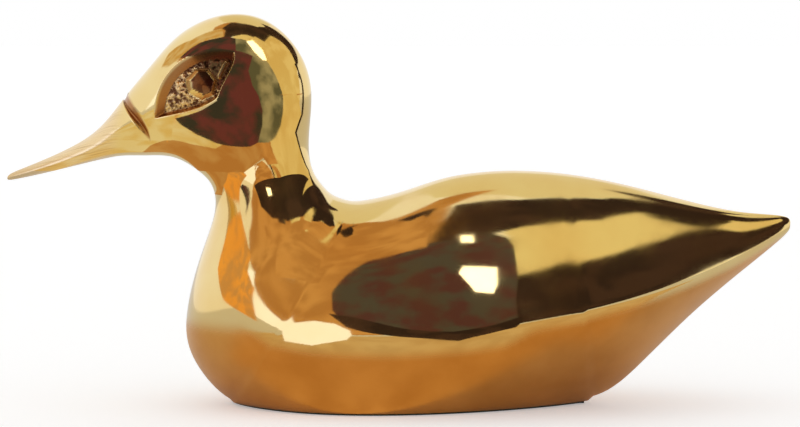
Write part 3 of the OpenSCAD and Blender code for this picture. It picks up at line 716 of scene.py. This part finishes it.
# Roughness of the polish between its clearest and its most smudged, and of the other finishes as a grey
POLISH_ROUGH, SATIN_ROUGH, FILED_ROUGH, CUT_ROUGH = (0.06, 0.16), (0.33,) * 3, (0.27,) * 3, (0.25,) * 3

# Marks to the metre along the figure and round its girth, in the order of the UV map, and clouds, cells and
# fibres to the metre in space
FILE_MARKS, FINE_SCRATCHES, SATIN_GRAIN = (90, 2200, 1), (60, 2600, 1), (500, 3000, 1)
HONEY_CLOUDS, HULL_CLOUDS, SMUDGES, STIPPLE, FACETS, LUMPS, FIBRES = 45, 60, 90, 950, 330, 420, 2600

# The bill's tip turns browner between these two x, in metres, by this share
TIP_BROWN = (-0.098, -0.086, 0.4)


def combined(tree, operation, first, second):
    """Two sockets put together by one operation of arithmetic."""
    return add(tree, "ShaderNodeMath", {0: first, 1: second}, operation=operation).outputs[0]


def brass():
    """Hand-finished brass: mirror polish with fine scratches, satin below the chine tinted with a painted
    reflection of a warm table, file marks on the bill with painted shade along them, and carving darkened by
    painted shade and reflection. The piece's own masks say where each finish lies."""
    material, tree, shader, place = new_finish("hand_polished_brass")
    surface = add(tree, "ShaderNodeUVMap", uv_map="finish").outputs["UV"]
    masks = ("satin", "filed", "carved", "stipple", "boss", "pupil")
    satin, filed, cut, stipple, boss, pupil = (
        add(tree, "ShaderNodeAttribute", attribute_name=key).outputs["Fac"] for key in masks)
    marks = noise(tree, stretched(tree, surface, FILE_MARKS), 1, 3)
    dots = noise(tree, place, STIPPLE, 2)

    gold = blend(tree, between(tree, noise(tree, place, HONEY_CLOUDS, 3), 0.35, 0.7), POLISHED, HONEY)
    # Below the chine the satin brass turns orange brown, clouded at random: a painted reflection of a warm
    # table.
    hull = blend(tree, between(tree, noise(tree, place, HULL_CLOUDS, 4), 0.35, 0.7), HULL_TABLE_REFLECTION, HULL_TABLE_REFLECTION_DARK)
    colour = blend(tree, satin, gold, hull)
    run = add(tree, "ShaderNodeSeparateXYZ", {"Vector": place}).outputs["X"]
    # Painted shade: the bill turns brown along the file marks, in their grooves, and browner towards the tip.
    file_shade_and_brown_tip = combined(tree, "MAXIMUM", between(tree, marks, 0.5, 0.9), between(tree, run, *TIP_BROWN, 0))
    colour = blend(tree, filed, colour, blend(tree, file_shade_and_brown_tip, FILED_GOLD, FILE_MARK_SHADE))
    # Painted shade and reflection: the carved walls of the eye and of the groove behind the bill turn brown.
    colour = blend(tree, between(tree, cut, 0.0, 0.3), colour, CUT_SHADE)
    colour = blend(tree, stipple, colour, blend(tree, between(tree, dots, 0.42, 0.6), PATINA_AND_DARK_REFLECTION, CUT_GOLD))
    colour = blend(tree, boss, colour, POLISHED)
    # The pupil's flat top is a painted dark reflection, faceted between the patina colour and the carving's
    # painted shade.
    facets = add(tree, "ShaderNodeTexVoronoi", {"Vector": place}, {"Scale": FACETS}).outputs["Color"]
    colour = blend(tree, pupil, colour, blend(tree, between(tree, facets, 0.2, 1.2), PATINA_AND_DARK_REFLECTION, CUT_SHADE))
    tree.links.new(colour, shader.inputs["Base Color"])

    rough = between(tree, noise(tree, place, SMUDGES, 5, 0.6), 0.4, 0.75, *POLISH_ROUGH)
    rough = blend(tree, satin, rough, SATIN_ROUGH)
    rough = blend(tree, filed, rough, FILED_ROUGH)
    rough = blend(tree, between(tree, cut, 0.0, 0.3), rough, CUT_ROUGH)
    tree.links.new(rough, shader.inputs["Roughness"])
    shader.inputs["Metallic"].default_value = 1

    scratches = noise(tree, stretched(tree, surface, FINE_SCRATCHES), 1, 4)
    grain = noise(tree, stretched(tree, surface, SATIN_GRAIN), 1, 3)
    filing, brushing = combined(tree, "MULTIPLY", filed, marks), combined(tree, "MULTIPLY", satin, grain)
    coarse, pits = combined(tree, "ADD", filing, brushing), combined(tree, "MULTIPLY", stipple, dots)
    normal = None
    for height, strength, distance in ((coarse, 0.5, 0.00006), (pits, 1, 0.0005), (scratches, 0.2, 0.00002)):
        links = {"Height": height, "Normal": normal} if normal else {"Height": height}
        normal = add(tree, "ShaderNodeBump", links, {"Strength": strength, "Distance": distance}).outputs[0]
    tree.links.new(normal, shader.inputs["Normal"])
    return material


def braze_metal():
    """Brazing metal inside the seam: yellower than the casting, rough and lumpy."""
    material, tree, shader, place = new_finish("brazing_metal")
    lumps = noise(tree, place, LUMPS, 4)
    tree.links.new(blend(tree, lumps, BRAZE_YELLOW, BRAZE_BROWN), shader.inputs["Base Color"])
    shader.inputs["Metallic"].default_value = 1
    shader.inputs["Roughness"].default_value = 0.45
    bump = add(tree, "ShaderNodeBump", {"Height": lumps}, {"Strength": 0.6, "Distance": 0.0004})
    tree.links.new(bump.outputs[0], shader.inputs["Normal"])
    return material


def green_felt():
    """Dark green felt: fibres as fine noise in colour and bump, with a soft sheen."""
    material, tree, shader, place = new_finish("green_felt")
    fibres = noise(tree, place, FIBRES, 5, 0.7)
    tree.links.new(blend(tree, fibres, FELT_SHADE, FELT_FIBRE), shader.inputs["Base Color"])
    shader.inputs["Roughness"].default_value = 0.95
    shader.inputs["Sheen Weight"].default_value = 0.5
    bump = add(tree, "ShaderNodeBump", {"Height": fibres}, {"Strength": 0.8, "Distance": 0.0003})
    tree.links.new(bump.outputs[0], shader.inputs["Normal"])
    return material


# Cards of the studio that the polish mirrors: a name, where it stands, two colours that cloud into each other,
# and its corners. A sky card stands on a sphere round the duck, with its radius in metres and its corners as
# (bearing, height) in
# degrees: bearing 0 is towards the camera and 90 towards the tail. A flat card faces along one axis, such as
# -x, at that many millimetres, is seen from that side only, and has its corners in millimetres on the other
# two. The flat cards within
# 130 mm of the figure paint the reflections seen on the skin next to them. SNOW and CREAM are brighter than the
# plain white
# of the room: painted highlights for the small windows and lights.
NIGHT, DUSK, OLIVE = (0.035, 0.022, 0.02), (0.06, 0.035, 0.03), (0.085, 0.08, 0.08)
OLIVE_RED, WINE, PINE = (0.10, 0.045, 0.05), (0.15, 0.045, 0.06), (0.045, 0.045, 0.045)
MOSS, MOSS_PALE = (0.12, 0.13, 0.10), (0.40, 0.40, 0.32)
EMBER, AMBER, RUST, TAWNY = (0.68, 0.37, 0.14), (0.95, 0.45, 0.10), (0.52, 0.26, 0.09), (0.6, 0.36, 0.16)
SAND, GOLD, STRAW, FAWN = (0.88, 0.76, 0.44), (0.78, 0.63, 0.31), (0.85, 0.80, 0.60), (0.74, 0.58, 0.36)
OCHRE, BUFF, TAN = (0.66, 0.42, 0.16), (0.70, 0.52, 0.30), (0.62, 0.44, 0.24)
SNOW, CREAM = (3.0, 3.0, 3.0), (1.3, 1.4, 1.8)
CARDS = [
    ("flag_above", "-z", 1500, NIGHT, DUSK, [
        (-150, -640), (-90, -790), (80, -660), (440, -450), (650, -290), (780, 90), (770, 670), (745, 1550),
        (730, 1000), (700, 650), (550, 320), (360, 130), (150, 20), (-40, 40), (-140, 70), (-150, -300)]),
    ("back_light", "-z", 1490, STRAW, STRAW, [
        (-500, 2600), (-430, 1400), (-300, 620), (-120, 300), (40, 200), (190, 70), (360, 145), (545, 335),
        (690, 650), (725, 1000), (742, 1550), (760, 2600)]),
    ("panel_right", "sky", 1.75, SAND, SAND, [
        (9, 44.5), (23, 48.5), (49, 47.6), (63, 49.6), (77, 54), (90, 61), (112, 63.5), (100, 72), (90, 80),
        (4, 80), (11, 62)]),
    ("dark_right", "sky", 1.85, NIGHT, DUSK, [
        (10, -25), (27, -25), (50, -14), (59, -5), (62, 8), (64, 25), (150, 25), (150, 62), (120, 66),
        (90, 62), (4, 62)]),
    ("centre", "+y", -40, OLIVE, OLIVE_RED, [
        (-18, 35), (-19, 45), (-17, 55), (-15, 66), (-13, 79), (-6, 88), (12, 84), (24, 87), (29, 80),
        (31, 70), (31, 48), (30, 36), (31, 18), (24, 15), (16, 13), (0, 19), (-14, 27)]),
    ("window", "+y", -39, SNOW, SNOW, [(14.5, 50), (15.5, 54), (25, 52), (25, 43), (24, 39), (19, 40)]),
    ("centre_low", "+y", -39.5, NIGHT, DUSK, [
        (-19, 33), (-12, 31), (0, 26), (14, 22), (23, 25), (32, 30), (31, 18), (24, 15), (16, 13), (0, 19),
        (-14, 27)]),
    ("table_amber", "+z", 0.5, BUFF, TAN, [
        (-56, -20), (-80, -50), (-60, -160), (130, -160), (130, -20), (60, -20), (48, -30)]),
    ("small_window", "+y", -39, SNOW, SNOW, [(13, 87), (17, 85), (18, 74), (14, 76)]),
    ("ember_left", "sky", 1.8, EMBER, RUST, [
        (-75, 48), (-66, 47), (-36, 37), (-23, 20), (-12, 0), (-8, -20), (4, -20), (4, 70), (-75, 66)]),
    ("ember_above", "-z", 1480, EMBER, RUST, [
        (-110, -660), (-145, -320), (-165, 96), (-60, 250), (20, 400), (-250, 440), (-420, 300), (-470, -300),
        (-300, -900), (-175, -920)]),
    ("shoulder_ember", "+y", -29, EMBER, RUST, [
        (-31, 37), (-21, 37), (-19, 47), (-15, 56), (-11, 66), (-6, 74), (-1, 92), (-14, 78), (-22, 72),
        (-31, 68)]),
    ("cream_left", "sky", 1.8, CREAM, CREAM, [
        (-50, -42), (-9, -38), (-9, 10), (-23, 22), (-36, 37), (-50, 40)]),
    ("cheek", "+y", -16, WINE, PINE, [
        (-40, 94.5), (-39.5, 104), (-43.7, 108), (-49, 108), (-58.6, 112.4), (-64, 109.4), (-66, 102),
        (-53.8, 90), (-45.8, 77.6), (-50.4, 74.2), (-57.3, 70.3), (-56.4, 67), (-54, 62.6), (-49.5, 62),
        (-42.8, 63.5), (-37.4, 64.5), (-34.5, 65.8), (-32.6, 70.6), (-32.5, 75), (-33.8, 79.4), (-35.6, 82.3),
        (-36.5, 86.9), (-34.1, 93)]),
    ("cheek_rear", "+y", -16, MOSS, MOSS_PALE, [
        (-34.5, 65.8), (-30.2, 65.8), (-26.3, 67), (-22.7, 69.8), (-20.6, 74.8), (-21.3, 80), (-24.5, 86.3),
        (-28, 92.6), (-31, 98.7), (-34.5, 103), (-39.5, 104), (-40, 94.5), (-34.1, 93), (-36.5, 86.9),
        (-35.6, 82.3), (-33.8, 79.4), (-32.5, 75), (-32.6, 70.6)]),
    ("cheek_light", "+y", -15.8, SNOW, SNOW, [
        (-35, 101.7), (-31, 104.8), (-28, 98), (-28, 92.6), (-30.2, 92), (-33, 95)]),
    ("head_gold", "-x", -10, GOLD, SAND, [
        (-30, 70), (-17.5, 70), (-6.6, 70), (-5, 84), (-4, 90), (-1, 95), (3, 104), (3, 112), (-1, 124),
        (-8, 128), (-26, 128)]),
    ("head_line", "-x", -9.5, NIGHT, NIGHT, [(-4, 88), (-1, 94), (3, 103), (4, 103), (0, 93), (-3, 87)]),
    ("neck_gold", "-x", -21, GOLD, SAND, [
        (-70, 150), (-70, 60), (-12, 59.6), (-6, 57.5), (-2.5, 61), (-3.8, 63.5), (-5.5, 66), (-8, 69),
        (-5.4, 74), (-8, 80), (-20, 130)]),
    ("neck_line", "-x", -20.8, NIGHT, NIGHT, [
        (-5, 90), (-5, 82), (-5.4, 74), (-8, 69), (-5.5, 66), (-3.8, 63.5), (-2.5, 61), (-5.5, 57.5),
        (-4.5, 57.5), (-1.6, 61), (-3, 63.8), (-4.7, 66), (-7, 69), (-4.4, 74), (-4.2, 82), (-4.2, 90)]),
    ("crown_dark", "-z", 125, NIGHT, DUSK, [
        (-49, -8), (-44, 1.5), (-36, -1), (-23, 0), (-9, -3), (-3.6, -6), (-7, -20), (-20, -21), (-32, -20),
        (-43, -18)]),
    ("neck_dark", "-z", 59.5, NIGHT, DUSK, [
        (-39, -14), (-30, -12), (-22, -6), (-17, -2), (-15.4, -6), (-16.6, -11), (-19.7, -18), (-26.2, -22.5),
        (-33.9, -22.3), (-38.5, -18.5)]),
    ("shoulder_top", "-z", 59.4, EMBER, RUST, [
        (-39, -24), (-34, -23.5), (-26.2, -23.8), (-19.5, -19.2), (-15.8, -18.8), (-13.5, -18), (-20, -31),
        (-39, -36)]),
    ("saddle_line", "-z", 59.6, NIGHT, NIGHT, [
        (-16, -15), (-14, -12), (-12, -11), (-12, -9), (-13, -9), (-13.2, -11), (-13.6, -12.5), (-13.4, -14),
        (-13.8, -16.5), (-15.5, -18)]),
    ("saddle_ember", "-z", 80, EMBER, RUST, [
        (-26, -48), (-26, -20), (-18, -3), (-14, -3), (-9, -9), (-4, -15), (0, -14), (4, -24), (3, -48)]),
    ("lore_gold", "+z", 68, STRAW, GOLD, [(-95, 0), (-95, -45), (-60, -45), (-58, -15), (-57, 0)]),
    ("chin_gold", "+z", 60, STRAW, GOLD, [
        (-95, 0), (-95, -45), (-47, -45), (-47, -22), (-50, -15), (-56, -11), (-60, -10), (-64, -6),
        (-66, 0)]),
    ("throat_brown", "+z", 60, TAWNY, RUST, [
        (-66, 0), (-64, -6), (-60, -10), (-56, -11), (-50, -15), (-47, -22), (-47, -45), (-24, -45),
        (-24, -26), (-31, -12), (-46, 0)]),
    ("throat_low", "+z", 54, TAWNY, RUST, [
        (-66, 0), (-62, -9), (-57, -12), (-52, -14), (-50, -42), (-24, -42), (-34, 0)]),
    ("neck_spark", "-z", 59.2, SNOW, SNOW, [(-34.6, -14.6), (-33, -14.8), (-32.7, -16.3), (-34.2, -16.5)]),
    ("brow_orange", "-z", 125, FAWN, OCHRE, [
        (-98, 28), (-72, -3), (-49, -8), (-46, -23), (-52, -23), (-64, -20), (-73, -21), (-87, -26),
        (-100, -20), (-110, 10)]),
    ("cream_low", "+y", -42, CREAM, CREAM, [
        (-38, 22), (-36, 28), (-32, 31), (-24, 31.5), (-17, 29.5), (-13, 26), (-12.5, 21), (-14, 15),
        (-26, 9), (-38, 10)]),
    ("breast_orange", "+x", -60, AMBER, EMBER, [
        (-5, 56), (-12, 65), (-37, 68), (-42, 58), (-72, 56), (-54, 20), (-26, 32), (-12, 42)]),
]


# Cuts of a sky card's edges, clouds to the metre on far and near cards, and the noise between which they change
SKY_CUTS = 15
CLOUDS_FAR, CLOUDS_NEAR, CLOUD_EDGE = 3, 120, (0.42, 0.58)


def sky_mesh(mesh, edge, radius):
    """A card on the sphere: its corners are filled, cut finer, and each point (bearing, height) goes to
    radius times (sin b cos h, -cos b cos h, sin h)."""
    mesh.from_pydata(np.insert(edge, 2, 0, axis=1), [], [range(len(edge))])
    finer = bmesh.new()
    finer.from_mesh(mesh)
    bmesh.ops.triangulate(finer, faces=finer.faces)
    bmesh.ops.subdivide_edges(finer, edges=finer.edges, cuts=SKY_CUTS, use_grid_fill=True)
    finer.to_mesh(mesh)
    finer.free()
    flat = np.empty(len(mesh.vertices) * 3)
    mesh.vertices.foreach_get("co", flat)
    bearing, height = np.radians(flat.reshape(-1, 3).T[:2])
    level = np.cos(height)
    points = np.stack([np.sin(bearing) * level, -np.cos(bearing) * level, np.sin(height)], axis=-1) * radius
    mesh.vertices.foreach_set("co", points.ravel())
    mesh.update()


def flat_mesh(mesh, edge, where, place):
    """A flat card square to an axis, wound so that it faces the way its sign says."""
    leftward = np.sum(edge[:, 0] * np.roll(edge[:, 1], -1) - np.roll(edge[:, 0], -1) * edge[:, 1]) > 0
    turned = edge if leftward == (where in ("+x", "-y", "+z")) else edge[::-1]
    mesh.from_pydata(np.insert(turned, "xyz".index(where[1]), place, axis=1) * MM, [], [range(len(edge))])


def card(name, where, place, first, second, corners):
    """A card, curved over the sphere or flat. Only the polish sees it: it gives no light of its own and
    neither hides nor shades the floor."""
    mesh = bpy.data.meshes.new(name)
    edge = np.array(corners, dtype=float)
    if where == "sky":
        sky_mesh(mesh, edge, place)
    else:
        flat_mesh(mesh, edge, where, place)
    obj = placed(name, mesh)
    material, tree, shader, spot = new_finish(name)
    tree.nodes.remove(shader)
    clouds = noise(tree, spot, CLOUDS_FAR if where == "sky" or place > 1000 else CLOUDS_NEAR, 4)
    glow = add(tree, "ShaderNodeEmission")
    tree.links.new(blend(tree, between(tree, clouds, *CLOUD_EDGE), first, second), glow.inputs["Color"])
    shown = glow.outputs[0]
    if where != "sky":
        hidden = tree.nodes.new("ShaderNodeBsdfTransparent").outputs[0]
        behind = tree.nodes.new("ShaderNodeNewGeometry").outputs["Backfacing"]
        shown = add(tree, "ShaderNodeMixShader", {0: behind, 1: shown, 2: hidden}).outputs[0]
    tree.links.new(shown, tree.nodes["Material Output"].inputs["Surface"])
    mesh.materials.append(material)
    obj.visible_camera = obj.visible_diffuse = obj.visible_shadow = obj.visible_transmission = False


def camera_view():
    """The camera at the photograph's angle: 0.7 m in front of the figure and a little above its middle."""
    at, to = Vector((-0.00744, -0.69996, 0.0960)), Vector((0.0001, 0.0, 0.0489))
    camera = placed("photo_view", bpy.data.cameras.new("photo_view"))
    camera.location = at
    camera.rotation_euler = (to - at).to_track_quat("-Z", "Y").to_euler()
    camera.data.sensor_width = 36
    camera.data.lens = 123.3
    bpy.context.scene.camera = camera


# Half the floor's side in metres, the room's strength on matt surfaces, and the floor's lift to white
FLOOR_HALF = 15.0
ROOM_LIGHT, FLOOR_LIFT = 0.75, 0.32


def studio():
    """A plain pale floor under an even white room: the room shines at the plain level on matt surfaces, and
    the camera and the polish see it white. The floor is lifted to white for the camera alone and keeps the
    shadow."""
    bpy.context.scene.view_settings.view_transform = "Standard"
    world = bpy.data.worlds.new("studio")
    world.use_nodes = True
    tree = world.node_tree
    background = tree.nodes["Background"]
    light = tree.nodes.new("ShaderNodeLightPath").outputs
    seen = combined(tree, "MAXIMUM", light["Is Camera Ray"], light["Is Glossy Ray"])
    seen = combined(tree, "MAXIMUM", seen, light["Is Transmission Ray"])
    tree.links.new(between(tree, seen, 0, 1, ROOM_LIGHT, 1.0), background.inputs["Strength"])
    background.inputs["Color"].default_value = (1, 1, 1, 1)
    bpy.context.scene.world = world

    mesh = bpy.data.meshes.new("pale_floor")
    corners = np.array([(-1, -1, 0), (1, -1, 0), (1, 1, 0), (-1, 1, 0)]) * FLOOR_HALF
    mesh.from_pydata(corners, [], [(0, 1, 2, 3)])
    floor = placed("pale_floor", mesh)
    material, tree, shader, _ = new_finish("pale_floor")
    shader.inputs["Base Color"].default_value = (0.9, 0.9, 0.9, 1)
    shader.inputs["Roughness"].default_value = 0.9
    shader.inputs["Emission Color"].default_value = (1, 1, 1, 1)
    light = tree.nodes.new("ShaderNodeLightPath").outputs
    lift = between(tree, light["Is Camera Ray"], 0, 1, 0, FLOOR_LIFT)
    tree.links.new(lift, shader.inputs["Emission Strength"])
    floor.data.materials.append(material)


def main():
    """All pieces of the duck, then the camera, the room and its cards."""
    metal = brass()
    half_shell("left_half", "left_shell", -1, metal)
    half_shell("right_half", "right_shell", 1, metal)
    neck_ring(metal)
    head(metal)
    felt(green_felt())
    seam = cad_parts["seam_braze"]
    seam.data.materials.clear()
    seam.data.materials.append(braze_metal())
    camera_view()
    studio()
    for details in CARDS:
        card(*details)


main()
